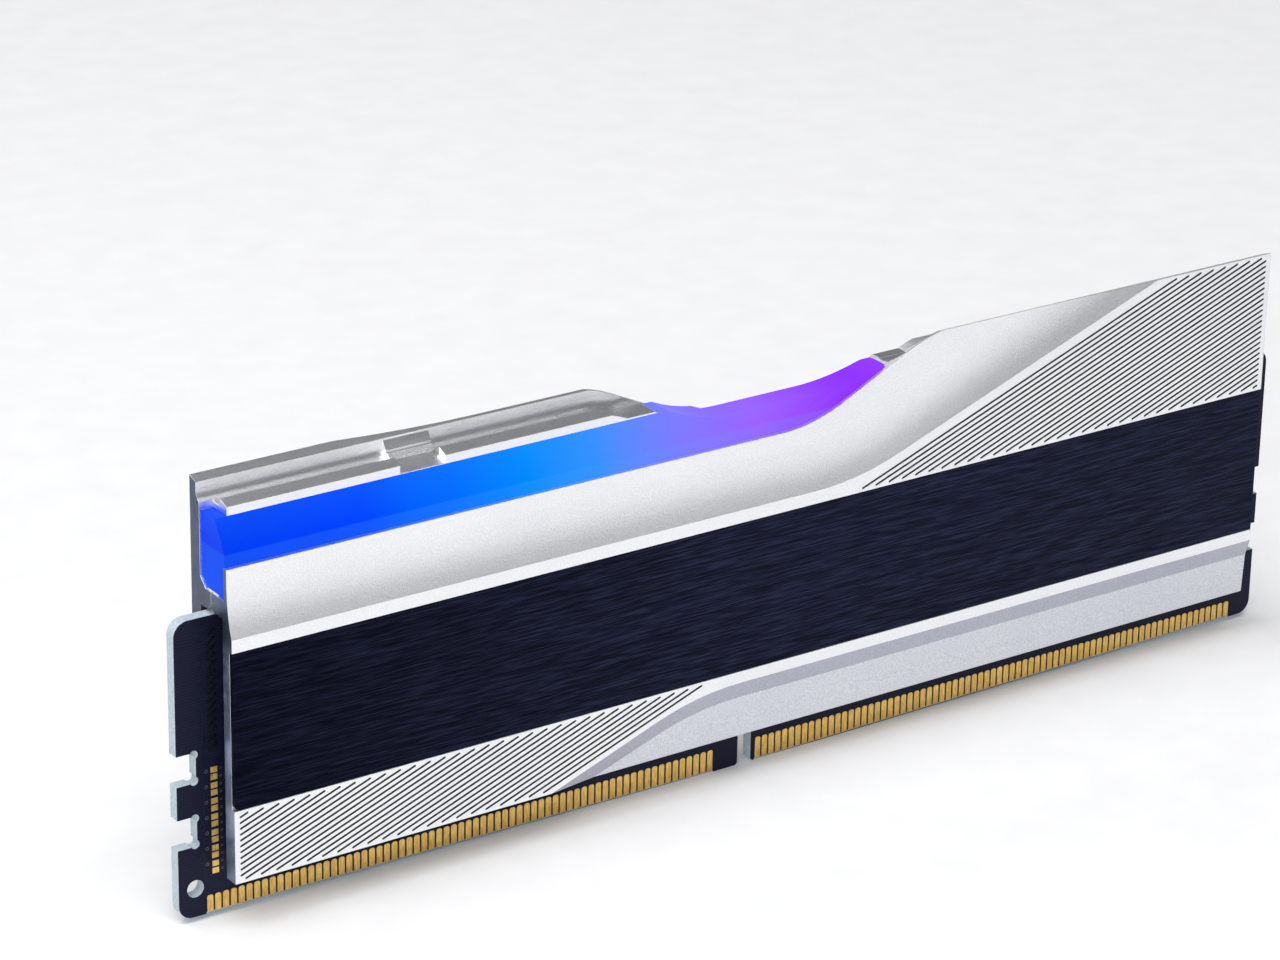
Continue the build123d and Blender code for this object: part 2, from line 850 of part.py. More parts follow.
with BuildPart() as plain_bar:
    with BuildSketch(Plane.XZ.offset(-shell_half)):
        with BuildLine():
            FilletPolyline(
                (-bar_end, bar_bottom),
                (-bar_end, bar_top),
                (-bar_top_corner_x, bar_top),
                (-valley_x, bar_valley),
                (valley_x, bar_valley),
                (bar_top_corner_x, bar_top),
                (bar_end, bar_top),
                (bar_end, bar_bottom),
                radius=[0, 0, 0, ramp_foot_radius, ramp_foot_radius, 0, 0, 0],
                close=True,
            )
        make_face()
    extrude(amount=2 * shell_half)
    with BuildSketch(Plane.XY.offset(bar_bottom - past)):
        with BuildLine():
            Polyline(
                (-bar_end, bar_wall_side),
                (-bar_step_x, bar_wall_side),
                (-bar_step_x, bar_arm_side),
                (bar_end, bar_arm_side),
                (bar_end, -bar_wall_side),
                (bar_step_x, -bar_wall_side),
                (bar_step_x, -bar_arm_side),
                (-bar_end, -bar_arm_side),
                close=True,
            )
        make_face()
    extrude(amount=bar_top, mode=Mode.INTERSECT)

# Along the tall wall the bar's lower edge is cut back to clear the chamfer in the channel.
with BuildPart() as foot_cutter:
    with BuildSketch(Plane.YZ.offset(bar_step_x)):
        foot_half = cavity_half - web_chamfer - bar_clearance
        foot_reach = web_chamfer + past
        with BuildLine():
            Polyline(
                (-(foot_half - past), bar_bottom - past),
                (-(foot_half + foot_reach), bar_bottom + foot_reach),
                (-(foot_half + foot_reach), bar_bottom - past),
                close=True,
            )
        make_face()
    extrude(amount=bar_end + past - bar_step_x)

with BuildPart() as lit_bar:
    with Locations(front_place):
        add(plain_bar.part)
    for place in (front_place, rear_place):
        with Locations(place):
            add(bevel_cutter.part, mode=Mode.SUBTRACT)
            add(foot_cutter.part, mode=Mode.SUBTRACT)
write(lit_bar, "lit_bar")

with BuildPart() as bar_tape:
    with BuildSketch(Plane.XY.offset(web_top)):
        with Locations((0, shell_y)):
            Rectangle(2 * bar_end, 2 * (cavity_half - web_chamfer) - joint_gap)
            with Locations(*[(x, 0) for x in led_rows]):
                Rectangle(window_length, 2 * window_depth, mode=Mode.SUBTRACT)
    extrude(amount=bar_tape_thickness)
write(bar_tape, "bar_tape")
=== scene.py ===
from math import cos, pi, radians, sin

import bmesh
import bpy
from mathutils import Matrix, Vector


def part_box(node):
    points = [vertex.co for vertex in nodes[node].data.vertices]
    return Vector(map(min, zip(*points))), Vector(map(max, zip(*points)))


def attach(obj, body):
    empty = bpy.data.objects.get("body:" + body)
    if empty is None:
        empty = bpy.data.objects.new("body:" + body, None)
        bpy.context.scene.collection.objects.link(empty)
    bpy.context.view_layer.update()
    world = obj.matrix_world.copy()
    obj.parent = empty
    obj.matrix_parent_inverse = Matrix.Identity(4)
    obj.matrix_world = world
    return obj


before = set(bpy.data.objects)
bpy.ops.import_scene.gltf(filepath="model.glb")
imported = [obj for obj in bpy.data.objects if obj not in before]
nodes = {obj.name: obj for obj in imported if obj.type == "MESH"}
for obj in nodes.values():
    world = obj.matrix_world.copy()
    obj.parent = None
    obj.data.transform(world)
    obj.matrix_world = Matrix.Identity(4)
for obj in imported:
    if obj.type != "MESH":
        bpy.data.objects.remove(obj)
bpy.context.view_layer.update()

mm = 0.001

# Camera, by the angles it looks along and the point it looks at
camera_aim = Vector((-13.66, 0, 36.04)) * mm
camera_azimuth = -35.08
camera_elevation = 22.27
camera_roll = 1.12
camera_distance = 452.1 * mm
camera_lens = 130.64
camera_shift = (-0.0047, -0.018)


# ---------------------------------------------------------------- node helpers
def set_inputs(tree, node, values):
    """Each named input of a node given a number or a socket."""
    for name, value in values.items():
        if isinstance(value, bpy.types.NodeSocket):
            tree.links.new(value, node.inputs[name])
        else:
            node.inputs[name].default_value = value


def add_node(tree, kind, values=None, **settings):
    """A shader node with its settings, and each input given a number or a socket."""
    node = tree.nodes.new(kind)
    for name, value in settings.items():
        setattr(node, name, value)
    set_inputs(tree, node, values or {})
    return node


def new_material(name):
    """An empty node material and its shader."""
    material = bpy.data.materials.new(name)
    material.use_nodes = True
    tree = material.node_tree
    tree.nodes.clear()
    shader = add_node(tree, "ShaderNodeBsdfPrincipled")
    add_node(tree, "ShaderNodeOutputMaterial", {"Surface": shader.outputs["BSDF"]})
    return material, tree, shader


def position(tree, stretch=(1, 1, 1)):
    """The point on the object in millimetres, stretched along each axis."""
    place = add_node(tree, "ShaderNodeTexCoord").outputs["Object"]
    scale = [1000 * factor for factor in stretch]
    scaled = add_node(tree, "ShaderNodeVectorMath", {0: place, 1: scale}, operation="MULTIPLY")
    return scaled.outputs["Vector"]


def noise(tree, size, stretch=(1, 1, 1), detail=2.0, rough=0.5):
    """Cloudy pattern with features about `size` millimetres across."""
    point = position(tree, stretch)
    values = {"Vector": point, "Scale": 1 / size, "Detail": detail, "Roughness": rough}
    return add_node(tree, "ShaderNodeTexNoise", values).outputs["Fac"]


def spread(tree, value, low, high, from_low=0.3, from_high=0.7):
    """The value moved from one range to another, held at its ends."""
    values = {"Value": value, "From Min": from_low, "From Max": from_high, "To Min": low, "To Max": high}
    return add_node(tree, "ShaderNodeMapRange", values).outputs["Result"]


def colours(tree, value, stops):
    """Colour ramp over (place, colour) stops."""
    ramp = add_node(tree, "ShaderNodeValToRGB", {"Fac": value})
    band = ramp.color_ramp
    while len(band.elements) < len(stops):
        band.elements.new(1.0)
    for element, (place, colour) in zip(band.elements, stops):
        element.position = place
        element.color = (*colour, 1)
    return ramp.outputs["Color"]


def maths(tree, operation, first, second=0.0):
    """The result of a sum on one or two values."""
    values = {0: first, 1: second}
    return add_node(tree, "ShaderNodeMath", values, operation=operation).outputs["Value"]


def mixed(tree, factor, first, second, blend="MIX"):
    """Two colours blended by a factor. Each may be a tuple or a socket."""
    mix = add_node(tree, "ShaderNodeMix", data_type="RGBA", blend_type=blend)
    for socket, value in ((mix.inputs[0], factor), (mix.inputs[6], first), (mix.inputs[7], second)):
        if isinstance(value, bpy.types.NodeSocket):
            tree.links.new(value, socket)
        elif isinstance(value, tuple):
            socket.default_value = (*value, 1)
        else:
            socket.default_value = value
    return mix.outputs[2]


def bumps(tree, height, depth_mm, strength=1.0, under=None):
    """Normal of a surface with small relief, `depth_mm` from low to high."""
    values = {"Height": height, "Distance": depth_mm * mm, "Strength": strength}
    if under:
        values["Normal"] = under
    return add_node(tree, "ShaderNodeBump", values).outputs["Normal"]


def soft_edges(tree, radius_mm):
    """Normal that rounds each sharp edge a little."""
    return add_node(tree, "ShaderNodeBevel", {"Radius": radius_mm * mm}, samples=6).outputs["Normal"]


def axis_value(tree, axis):
    """One coordinate of the point, in millimetres."""
    return add_node(tree, "ShaderNodeSeparateXYZ", {"Vector": position(tree)}).outputs[axis]


def ripples(tree, axis, pitch):
    """Wave between -1 and 1 along one axis, with its pitch in millimetres."""
    return maths(tree, "SINE", maths(tree, "MULTIPLY", axis_value(tree, axis), 2 * pi / pitch))


# ---------------------------------------------------------------- materials
def blasted_aluminium(name, dark, light):
    """Clear anodised aluminium with a bead-blasted grain, between a dark and a light tone."""
    material, tree, shader = new_material(name)
    grain = noise(tree, 0.17, detail=3.0, rough=0.65)
    cloud = noise(tree, 9.0, detail=2.0)
    colour = colours(tree, spread(tree, grain, 0, 1, 0.32, 0.68), [(0, dark), (1, light)])
    tint = colours(tree, spread(tree, cloud, 0, 1), [(0, (0.96, 0.965, 0.98)), (1, (1, 1, 1))])
    set_inputs(tree, shader, {
        "Base Color": mixed(tree, 1.0, colour, tint, "MULTIPLY"),
        "Metallic": 1.0,
        "Roughness": spread(tree, grain, 0.28, 0.42),
        "Normal": bumps(tree, grain, 0.035, 0.9, soft_edges(tree, 0.08)),
    })
    return material


def cut_aluminium(name, low_colour, high_colour, low_z, high_z):
    """End faces of the spreader: bluish, lightly scored, with painted shade making one colour below and
    another above.
    """
    material, tree, shader = new_material(name)
    scores = noise(tree, 0.12, (1, 0.12, 0.12), detail=3.0)
    grain = noise(tree, 0.25, detail=3.0)
    rise = spread(tree, axis_value(tree, "Z"), 0, 1, low_z, high_z)
    colour = colours(tree, rise, [(0, low_colour), (1, high_colour)])
    stain = colours(tree, spread(tree, grain, 0, 1), [(0, (0.80, 0.81, 0.84)), (1, (1, 1, 1))])
    set_inputs(tree, shader, {
        "Base Color": mixed(tree, 1.0, colour, stain, "MULTIPLY"),
        "Metallic": 1.0,
        "Roughness": spread(tree, scores, 0.34, 0.5),
        "Normal": bumps(tree, scores, 0.012, 0.5, soft_edges(tree, 0.06)),
    })
    return material


def stripe_dark_floor():
    """Dark floor of the engraved stripes."""
    material, tree, shader = new_material("stripe_dark_floor")
    grain = noise(tree, 0.15, detail=3.0)
    colour = colours(tree, spread(tree, grain, 0, 1), [
        (0, (0.035, 0.035, 0.04)),
        (1, (0.085, 0.085, 0.095)),
    ])
    set_inputs(tree, shader, {
        "Base Color": colour,
        "Metallic": 0.4,
        "Roughness": spread(tree, grain, 0.5, 0.7),
        "Normal": bumps(tree, grain, 0.01, 0.4),
    })
    return material


def brushed_navy():
    """Navy-black anodised plate, brushed along its length, with painted shade darkening it towards -X."""
    material, tree, shader = new_material("brushed_navy")
    fine = noise(tree, 0.09, (0.025, 1, 1), detail=2.0, rough=0.6)
    coarse = noise(tree, 0.22, (0.04, 1, 1), detail=3.0, rough=0.6)
    streaks = maths(tree, "ADD", maths(tree, "MULTIPLY", fine, 0.7), maths(tree, "MULTIPLY", coarse, 0.3))
    colour = colours(tree, spread(tree, streaks, 0, 1, 0.38, 0.62), [
        (0, (0.0035, 0.0045, 0.012)),
        (0.5, (0.009, 0.011, 0.028)),
        (1, (0.026, 0.031, 0.068)),
    ])
    # Painted shade: a ramp along X darkens the plate towards its -X end.
    low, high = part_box("front_insert")
    tone = spread(tree, axis_value(tree, "X"), 0, 1, low.x / mm, high.x / mm)
    shade = colours(tree, tone, [(0, (0.38, 0.40, 0.46)), (0.45, (1, 1, 1)), (1, (1.0, 1.0, 1.0))])
    set_inputs(tree, shader, {
        "Base Color": mixed(tree, 1.0, colour, shade, "MULTIPLY"),
        "Metallic": 1.0,
        "Roughness": spread(tree, streaks, 0.32, 0.5, 0.38, 0.62),
        "Normal": bumps(tree, streaks, 0.03, 0.6, soft_edges(tree, 0.05)),
        "Anisotropic": 0.5,
    })
    return material


def gold_plate(name, metallic):
    """Satin gold plate with a little rub along its height."""
    material, tree, shader = new_material(name)
    rub = noise(tree, 0.12, (1, 1, 0.15), detail=3.0)
    stain = noise(tree, 1.1, detail=2.0)
    colour = colours(tree, spread(tree, rub, 0, 1), [(0, (0.74, 0.45, 0.11)), (1, (1.0, 0.72, 0.26))])
    tint = colours(tree, spread(tree, stain, 0, 1), [(0, (0.88, 0.86, 0.82)), (1, (1, 1, 1))])
    set_inputs(tree, shader, {
        "Base Color": mixed(tree, 1.0, colour, tint, "MULTIPLY"),
        "Metallic": metallic,
        "Roughness": spread(tree, rub, 0.26, 0.42),
        "Normal": bumps(tree, rub, 0.008, 0.5, soft_edges(tree, 0.03)),
    })
    return material


def board_mask():
    """Dark blue-black solder mask, with bare brownish laminate between the contacts."""
    material, tree, shader = new_material("board_mask")
    weave = maths(tree, "MULTIPLY", ripples(tree, "X", 0.5), ripples(tree, "Z", 0.32))
    traces = ripples(tree, "Z", 0.3)
    cloud = noise(tree, 0.8, detail=3.0)
    relief = maths(tree, "ADD", maths(tree, "MULTIPLY", weave, 0.35), maths(tree, "MULTIPLY", traces, 0.5))
    colour = colours(tree, spread(tree, relief, 0, 1, -0.8, 0.8), [
        (0, (0.004, 0.005, 0.016)),
        (1, (0.011, 0.014, 0.040)),
    ])
    tint = colours(tree, spread(tree, cloud, 0, 1), [(0, (0.75, 0.78, 0.85)), (1, (1, 1, 1))])
    contact_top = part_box("contacts_front_left")[1].z / mm
    bare = spread(tree, axis_value(tree, "Z"), 1, 0, contact_top - 0.3, contact_top - 0.1)
    resin = colours(tree, spread(tree, cloud, 0, 1), [
        (0, (0.035, 0.018, 0.012)),
        (1, (0.075, 0.042, 0.026)),
    ])
    masked = mixed(tree, 1.0, colour, tint, "MULTIPLY")
    between_contacts = maths(tree, "MULTIPLY", bare, in_contact_rows(tree))
    set_inputs(tree, shader, {
        "Base Color": mixed(tree, between_contacts, masked, resin),
        "Roughness": spread(tree, cloud, 0.42, 0.6),
        "Normal": bumps(tree, relief, 0.012, 0.5),
        "Specular IOR Level": 0.14,
    })
    return material


def in_contact_rows(tree):
    """1 within the length of either row of contacts, and 0 outside."""
    x = axis_value(tree, "X")
    total = 0.0
    for row in ("contacts_front_left", "contacts_front_right"):
        low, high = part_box(row)
        centre = (low.x + high.x) / 2 / mm
        half_length = (high.x - low.x) / 2 / mm
        inside = add_node(tree, "ShaderNodeMath", {0: x, 1: centre, 2: half_length}, operation="COMPARE")
        total = maths(tree, "ADD", inside.outputs["Value"], total)
    return total


def bare_laminate():
    """Sawn edge of the glass-epoxy board: pale, with slightly darker layers."""
    material, tree, shader = new_material("bare_laminate")
    fibre = noise(tree, 0.12, (0.3, 1, 0.3), detail=4.0)
    layers = ripples(tree, "Y", 0.32)
    colour = colours(tree, spread(tree, fibre, 0, 1), [(0, (0.36, 0.45, 0.50)), (1, (0.62, 0.70, 0.74))])
    band = colours(tree, spread(tree, layers, 0, 1, 0.2, 1.0), [(0, (1, 1, 1)), (1, (0.78, 0.80, 0.83))])
    set_inputs(tree, shader, {
        "Base Color": mixed(tree, 1.0, colour, band, "MULTIPLY"),
        "Roughness": spread(tree, fibre, 0.5, 0.75),
        "Normal": bumps(tree, fibre, 0.02, 0.5),
    })
    return material


def moulded_epoxy(name="moulded_epoxy", dark=(0.010, 0.010, 0.011), light=(0.028, 0.028, 0.031)):
    """Matte moulding, black unless other tones are given."""
    material, tree, shader = new_material(name)
    grain = noise(tree, 0.08, detail=3.0)
    set_inputs(tree, shader, {
        "Base Color": colours(tree, spread(tree, grain, 0, 1), [(0, dark), (1, light)]),
        "Roughness": spread(tree, grain, 0.5, 0.72),
        "Normal": bumps(tree, grain, 0.01, 0.5, soft_edges(tree, 0.04)),
    })
    return material


def solder():
    """Dull tin alloy."""
    material, tree, shader = new_material("solder")
    grain = noise(tree, 0.1, detail=3.0)
    set_inputs(tree, shader, {
        "Base Color": colours(tree, spread(tree, grain, 0, 1), [
            (0, (0.42, 0.42, 0.45)),
            (1, (0.66, 0.66, 0.68)),
        ]),
        "Metallic": 1.0,
        "Roughness": spread(tree, grain, 0.3, 0.5),
        "Normal": bumps(tree, grain, 0.01, 0.5),
    })
    return material


def ceramic():
    """Capacitor body of brown ceramic."""
    material, tree, shader = new_material("ceramic")
    grain = noise(tree, 0.1, detail=3.0)
    set_inputs(tree, shader, {
        "Base Color": colours(tree, spread(tree, grain, 0, 1), [
            (0, (0.26, 0.18, 0.11)),
            (1, (0.42, 0.31, 0.20)),
        ]),
        "Roughness": spread(tree, grain, 0.35, 0.55),
        "Normal": bumps(tree, grain, 0.01, 0.4, soft_edges(tree, 0.03)),
    })
    return material


def silicone(name, dark, light):
    """Soft filled silicone, matte and slightly lumpy."""
    material, tree, shader = new_material(name)
    grain = noise(tree, 0.25, detail=4.0)
    set_inputs(tree, shader, {
        "Base Color": colours(tree, spread(tree, grain, 0, 1), [(0, dark), (1, light)]),
        "Roughness": spread(tree, grain, 0.6, 0.85),
        "Normal": bumps(tree, grain, 0.03, 0.5),
    })
    return material


def light_guide():
    """Frosted acrylic lit from inside, fading from blue through violet to magenta, with painted highlights
    along its bevel.
    """
    material, tree, shader = new_material("light_guide")
    low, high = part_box("lit_bar")
    along = spread(tree, axis_value(tree, "X"), 0, 1, low.x / mm, high.x / mm)
    glow = colours(tree, along, [
        (0.00, (0.0, 0.045, 0.80)),
        (0.12, (0.0, 0.060, 0.95)),
        (0.20, (0.0, 0.150, 1.0)),
        (0.27, (0.0, 0.270, 1.0)),
        (0.33, (0.035, 0.270, 1.0)),
        (0.40, (0.19, 0.19, 1.0)),
        (0.48, (0.33, 0.12, 1.0)),
        (0.58, (0.30, 0.010, 1.0)),
        (0.70, (0.42, 0.0, 0.95)),
        (1.00, (0.70, 0.0, 0.60)),
    ])
    frost = noise(tree, 0.18, detail=3.0)
    haze = noise(tree, 12.0, detail=1.0)
    height = axis_value(tree, "Z")
    top = high.z / mm
    bevel_foot = top - 3.0
    # Painted highlights: lighter towards the top of the bevel, and on the strip below its foot.
    crest_highlight = spread(tree, height, 0.0, 0.10, bevel_foot, top)
    foot = spread(tree, height, 0.12, 0.0, bevel_foot - 0.1, bevel_foot + 0.1)
    pale = maths(tree, "ADD", crest_highlight, foot)
    highlighted_glow = mixed(tree, pale, glow, (0.05, 0.40, 1.0))
    level = maths(tree, "MULTIPLY", spread(tree, frost, 0.97, 1.03), spread(tree, haze, 0.92, 1.06))
    set_inputs(tree, shader, {
        "Base Color": mixed(tree, 1.0, glow, (0.10, 0.10, 0.20), "MULTIPLY"),
        "Roughness": spread(tree, frost, 0.34, 0.46),
        "Emission Color": mixed(tree, 1.0, highlighted_glow, level, "MULTIPLY"),
        "Emission Strength": 0.9,
        "Normal": bumps(tree, frost, 0.01, 0.25, soft_edges(tree, 0.08)),
        "IOR": 1.1,
    })
    return material


def floor_paper():
    """Matte pale studio floor."""
    material, tree, shader = new_material("floor_paper")
    fibre = noise(tree, 6.0, detail=3.0)
    set_inputs(tree, shader, {
        "Base Color": colours(tree, spread(tree, fibre, 0, 1), [
            (0, (0.90, 0.90, 0.905)),
            (1, (0.93, 0.93, 0.935)),
        ]),
        "Roughness": spread(tree, fibre, 0.8, 0.9),
        "Specular IOR Level": 0.1,
    })
    return material


# ---------------------------------------------------------------- materials on the CAD nodes
def paint(node, *materials):
    """The node's material slots, emptied and filled in order."""
    slots = nodes[node].data.materials
    slots.clear()
    for material in materials:
        slots.append(material)


def paint_faces(node, chosen, slot):
    """The slot for each face that the test chooses, by its centre in millimetres and its normal."""
    for face in nodes[node].data.polygons:
        if chosen(face.center / mm, face.normal):
            face.material_index = slot


insert_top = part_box("front_insert")[1].z / mm
aluminium = blasted_aluminium("blasted_aluminium", (0.86, 0.865, 0.88), (0.99, 0.99, 1.0))
# The band and the bevel along the foot get darker copies of the aluminium: painted shade, for faces that
# lean down.
shaded_band_metal = blasted_aluminium("band_aluminium_painted_shade", (0.56, 0.575, 0.62), (0.80, 0.81, 0.85))
shaded_bevel_metal = blasted_aluminium("bevel_aluminium_painted_shade", (0.40, 0.41, 0.47), (0.56, 0.57, 0.65))
# The end faces are painted with shade: the front ones darker above the insert's top, the rear ones a
# darker copy that darkens upward.
cut_fade = 1
rear_cut_low = 5
front_cut = cut_aluminium(
    "front_cut", (0.42, 0.47, 0.62), (0.13, 0.155, 0.21), insert_top - cut_fade, insert_top + cut_fade
)
rear_cut = cut_aluminium("rear_cut", (0.17, 0.20, 0.27), (0.10, 0.12, 0.17), rear_cut_low, insert_top)
groove = stripe_dark_floor()
navy = brushed_navy()
gold = gold_plate("gold_plate", 1.0)
# The end pads get a half-diffuse copy of the gold, so they look brighter than their dark reflection:
# painted light.
gold_plate_lit_copy = gold_plate("gold_plate_lit_copy", 0.45)
epoxy = moulded_epoxy()
tin = solder()
grey_pad = silicone("thermal_silicone", (0.22, 0.24, 0.28), (0.34, 0.37, 0.42))
clear_glue = silicone("adhesive_film", (0.50, 0.50, 0.46), (0.66, 0.66, 0.62))
white_tape = silicone("white_tape", (0.62, 0.62, 0.60), (0.78, 0.78, 0.76))

spreader_low, spreader_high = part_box("front_spreader")
rear_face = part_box("rear_spreader")[1].y
shell_middle = (spreader_low.y + rear_face) / 2 / mm
shell_half = (rear_face - spreader_low.y) / 2 / mm
spreader_end = spreader_high.x / mm
stripe_depth = 0.12
band_top = 11.3
band_depth = 1.2

# Slots of a spreader half, in the order of its materials
groove_slot = 1
end_slot = 2
band_slot = 3
bevel_slot = 4


def depth_in(centre):
    """Depth of a point under the nearer outer face of the spreader, in millimetres."""
    return shell_half - abs(centre.y - shell_middle)


def in_stripe(centre, normal):
    """Floors and walls of the engraved stripes: shallow, and facing out or slanting along the face."""
    depth = depth_in(centre)
    floor = abs(depth - stripe_depth) < 0.015 and abs(normal.y) > 0.997
    wall = 0.005 < depth < stripe_depth - 0.005 and abs(normal.y) < 0.05
    return floor or (wall and max(abs(normal.x), abs(normal.z)) < 0.995)


def at_cut_end(centre, normal):
    """The sawn end faces of a spreader half."""
    return abs(normal.x) > 0.95 and abs(centre.x) > spreader_end - 0.05


def below_step(centre, normal):
    """Outer faces along the foot of the spreader that lie back from its main face."""
    outward = normal.y * (centre.y - shell_middle) > 0
    facing = 0.8 < abs(normal.y) < 0.9999
    return outward and facing and centre.z < band_top and 0.02 < depth_in(centre) < band_depth


def on_bevel(centre, normal):
    """The sloping strip that leads down to the band."""
    return below_step(centre, normal) and abs(normal.y) < 0.98


for node, end_metal in (("front_spreader", front_cut), ("rear_spreader", rear_cut)):
    paint(node, aluminium, groove, end_metal, shaded_band_metal, shaded_bevel_metal)
    paint_faces(node, below_step, band_slot)
    paint_faces(node, on_bevel, bevel_slot)
    paint_faces(node, in_stripe, groove_slot)
    paint_faces(node, at_cut_end, end_slot)

for node in ("front_insert", "rear_insert"):
    paint(node, navy)

paint("circuit_board", board_mask(), bare_laminate())
paint_faces("circuit_board", lambda centre, normal: abs(normal.y) < 0.95, 1)
for node in ("contacts_front_left", "contacts_front_right", "contacts_rear_left", "contacts_rear_right"):
    paint(node, gold)
paint("end_pads", gold_plate_lit_copy)
for node in ("memory_packages", "power_controller", "data_hub", "light_controller", "resistor_arrays"):
    paint(node, epoxy)
paint("power_inductors", moulded_epoxy("iron_powder", (0.05, 0.05, 0.055), (0.11, 0.11, 0.12)))
paint("package_balls", tin)
capacitor_body = ceramic()
for node in ("package_capacitors", "power_capacitors"):
    paint(node, capacitor_body)
paint("rgb_leds", silicone("led_housing", (0.70, 0.70, 0.67), (0.82, 0.82, 0.80)))
for node in ("front_thermal_pads", "power_thermal_pad", "rear_thermal_pad"):
    paint(node, grey_pad)
for node in ("front_insert_glue", "rear_insert_glue"):
    paint(node, clear_glue)
paint("lit_bar", light_guide())
paint("bar_tape", white_tape)


# ---------------------------------------------------------------- details on the board's ends
board_low, board_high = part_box("circuit_board")
pads_low, pads_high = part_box("end_pads")
detail_height = 0.018 * mm


def link(thing):
    """The object, put into the scene."""
    bpy.context.scene.collection.objects.link(thing)
    return thing


def on_board(side, x, z, rise=0.0):
    """A point on a face of the board, given in millimetres: side -1 is the package face."""
    face = board_low.y if side < 0 else board_high.y
    return Vector((x * mm, face + side * rise, z * mm))


def raise_outline(mesh, side, corners):
    """Low flat pad over an outline of (x, z) corners."""
    low = [mesh.verts.new(on_board(side, x, z)) for x, z in corners]
    high = [mesh.verts.new(on_board(side, x, z, detail_height)) for x, z in corners]
    mesh.faces.new(high)
    for index in range(len(corners)):
        after = (index + 1) % len(corners)
        mesh.faces.new((low[index], low[after], high[after], high[index]))


def raise_track(mesh, side, start, end, width):
    """Straight copper track between two (x, z) points, with round ends."""
    along = Vector((end[0] - start[0], end[1] - start[1])).normalized()
    across = Vector((-along.y, along.x))
    steps = 5
    corners = []
    for centre, turn in ((Vector(end), 1), (Vector(start), -1)):
        for step in range(steps + 1):
            angle = pi * step / steps
            offset = across * turn * -cos(angle) + along * turn * sin(angle)
            corners.append(centre + offset * width / 2)
    raise_outline(mesh, side, corners)


def raise_ring(mesh, side, x, z, hole, rim, steps=16):
    """Plated ring around a small via hole."""
    turns = [2 * pi * step / steps for step in range(steps)]
    loops = []
    for radius, rise in ((rim, 0), (rim, detail_height), (hole, detail_height), (hole, 0)):
        points = [(x + radius * cos(turn), z + radius * sin(turn)) for turn in turns]
        loops.append([mesh.verts.new(on_board(side, *point, rise)) for point in points])
    for outer, inner in zip(loops, loops[1:]):
        for step in range(steps):
            after = (step + 1) % steps
            mesh.faces.new((outer[step], outer[after], inner[after], inner[step]))


def finish_detail(mesh, name, material):
    """An object from the built mesh, riding on the module."""
    bmesh.ops.recalc_face_normals(mesh, faces=mesh.faces)
    data = bpy.data.meshes.new(name)
    mesh.to_mesh(data)
    mesh.free()
    data.materials.append(material)
    piece = link(bpy.data.objects.new(name, data))
    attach(piece, "root")


def mask_copper(name, dark, light):
    """Copper under the solder mask, seen as a darker or lighter shape."""
    material, tree, shader = new_material(name)
    grain = noise(tree, 0.2, detail=3.0)
    set_inputs(tree, shader, {
        "Base Color": colours(tree, spread(tree, grain, 0, 1), [(0, dark), (1, light)]),
        "Roughness": spread(tree, grain, 0.35, 0.55),
        "Normal": bumps(tree, grain, 0.01, 0.4),
        "Specular IOR Level": 0.3,
    })
    return material


board_end = board_high.x / mm
pad_inset = board_end + (pads_low.x + pads_high.x) / 2 / mm
pad_rows = 14
pad_share = 0.8
pad_pitch = (pads_high.z - pads_low.z) / mm / (pad_rows - 1 + pad_share)

# Short slanting tracks, one above another
bus_inset = 3.55
bus_pitch = 0.83
bus_low = 17.6
bus_count = 15
bus_run = 0.75
bus_climb = 0.62
bus_width = 0.34

# One thin track up each end
rail_inset = 2.85
rail_low = 2.4
rail_high = 30.2
rail_width = 0.06

# A column of small vias inside the pads, and larger ones outside every second pad
inner_via_gap = 0.72
inner_via_hole = 0.06
inner_via_rim = 0.14
outer_via_gap = 0.85
outer_via_hole = 0.1
outer_via_rim = 0.2

bus = bmesh.new()
vias = bmesh.new()
for side in (-1, 1):
    for end in (-1, 1):
        bus_x = end * (board_end - bus_inset)
        bus_inner_x = end * (board_end - bus_inset - bus_run)
        for index in range(bus_count):
            z = bus_low + index * bus_pitch
            raise_track(bus, side, (bus_x, z), (bus_inner_x, z + bus_climb), bus_width)
        rail_x = end * (board_end - rail_inset)
        raise_track(bus, side, (rail_x, rail_low), (rail_x, rail_high), rail_width)
        inner_x = end * (board_end - pad_inset - inner_via_gap)
        outer_x = end * (board_end - pad_inset + outer_via_gap)
        for row in range(pad_rows):
            z = pads_low.z / mm + (row + pad_share / 2) * pad_pitch
            raise_ring(vias, side, inner_x, z, inner_via_hole, inner_via_rim)
            if row % 2:
                raise_ring(vias, side, outer_x, z, outer_via_hole, outer_via_rim)
track_copper = mask_copper("masked_tracks", (0.0015, 0.0018, 0.004), (0.004, 0.005, 0.010))
via_copper = mask_copper("masked_vias", (0.03, 0.035, 0.06), (0.07, 0.08, 0.12))
finish_detail(bus, "board_tracks", track_copper)
finish_detail(vias, "board_vias", via_copper)


# ---------------------------------------------------------------- studio
def make_floor(half_size=2.5):
    """Square floor under the module, its size in metres."""
    mesh = bpy.data.meshes.new("floor")
    corners = [
        (-half_size, -half_size, 0),
        (half_size, -half_size, 0),
        (half_size, half_size, 0),
        (-half_size, half_size, 0),
    ]
    mesh.from_pydata(corners, [], [(0, 1, 2, 3)])
    mesh.materials.append(floor_paper())
    floor = link(bpy.data.objects.new("floor", mesh))


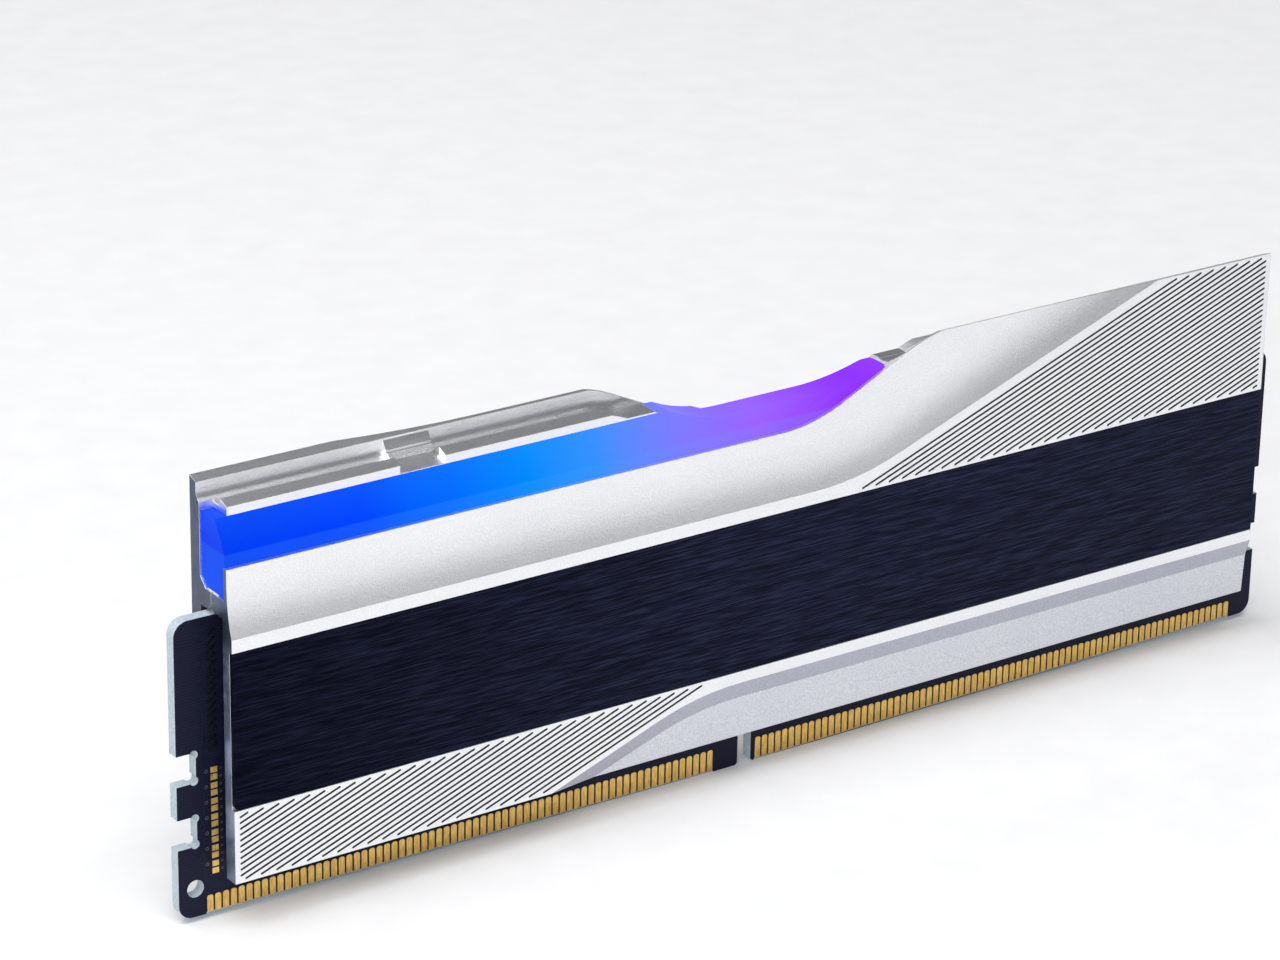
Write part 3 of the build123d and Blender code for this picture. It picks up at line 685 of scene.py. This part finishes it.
def make_light(name, place, aim, size, power):
    """Soft rectangular light at a place, turned towards a point."""
    data = bpy.data.lights.new(name, "AREA")
    data.shape = "RECTANGLE"
    data.size, data.size_y = size
    data.energy = power
    light = link(bpy.data.objects.new(name, data))
    light.location = place
    light.rotation_euler = (Vector(aim) - Vector(place)).to_track_quat("-Z", "Y").to_euler()


def make_world():
    """Grey surroundings, palest at the horizon and darker overhead."""
    world = bpy.data.worlds.new("studio")
    world.use_nodes = True
    tree = world.node_tree
    tree.nodes.clear()
    direction = add_node(tree, "ShaderNodeTexCoord").outputs["Generated"]
    height = add_node(tree, "ShaderNodeSeparateXYZ", {"Vector": direction}).outputs["Z"]
    sky = colours(tree, height, [
        (0.0, (0.50, 0.505, 0.52)),
        (0.08, (0.22, 0.225, 0.235)),
        (0.45, (0.12, 0.122, 0.13)),
        (1.0, (0.10, 0.10, 0.11)),
    ])
    background = add_node(tree, "ShaderNodeBackground", {"Color": sky, "Strength": 1.0})
    add_node(tree, "ShaderNodeOutputWorld", {"Surface": background.outputs["Background"]})
    bpy.context.scene.world = world


def make_camera():
    """Camera at the angles and distance given above."""
    turn, lift = radians(camera_azimuth), radians(camera_elevation)
    forward = Vector((-sin(turn) * cos(lift), cos(turn) * cos(lift), -sin(lift)))
    level = forward.cross(Vector((0, 0, 1))).normalized()
    above = level.cross(forward)
    right = level * cos(radians(camera_roll)) + above * sin(radians(camera_roll))
    up = right.cross(forward)
    data = bpy.data.cameras.new("camera")
    data.lens = camera_lens
    data.sensor_width = 36
    data.shift_x, data.shift_y = camera_shift
    data.clip_start = 0.01
    data.dof.use_dof = False
    camera = link(bpy.data.objects.new("camera", data))
    turned = Matrix((right, up, -forward)).transposed()
    camera.matrix_world = Matrix.Translation(camera_aim - forward * camera_distance) @ turned.to_4x4()
    bpy.context.scene.camera = camera


make_floor()
make_world()
make_camera()
make_light("overhead", (-0.35, -0.25, 1.2), (0.05, -0.05, 0), (1.3, 1.0), 17.5)
make_light("front_left", (-0.9, -0.8, 0.55), (0, 0, 0.02), (0.9, 0.6), 6)
make_light("back", (-0.3, 1.2, 1.3), (0, 0, 0.02), (1.2, 0.6), 3)
bpy.context.scene.view_settings.view_transform = "Standard"
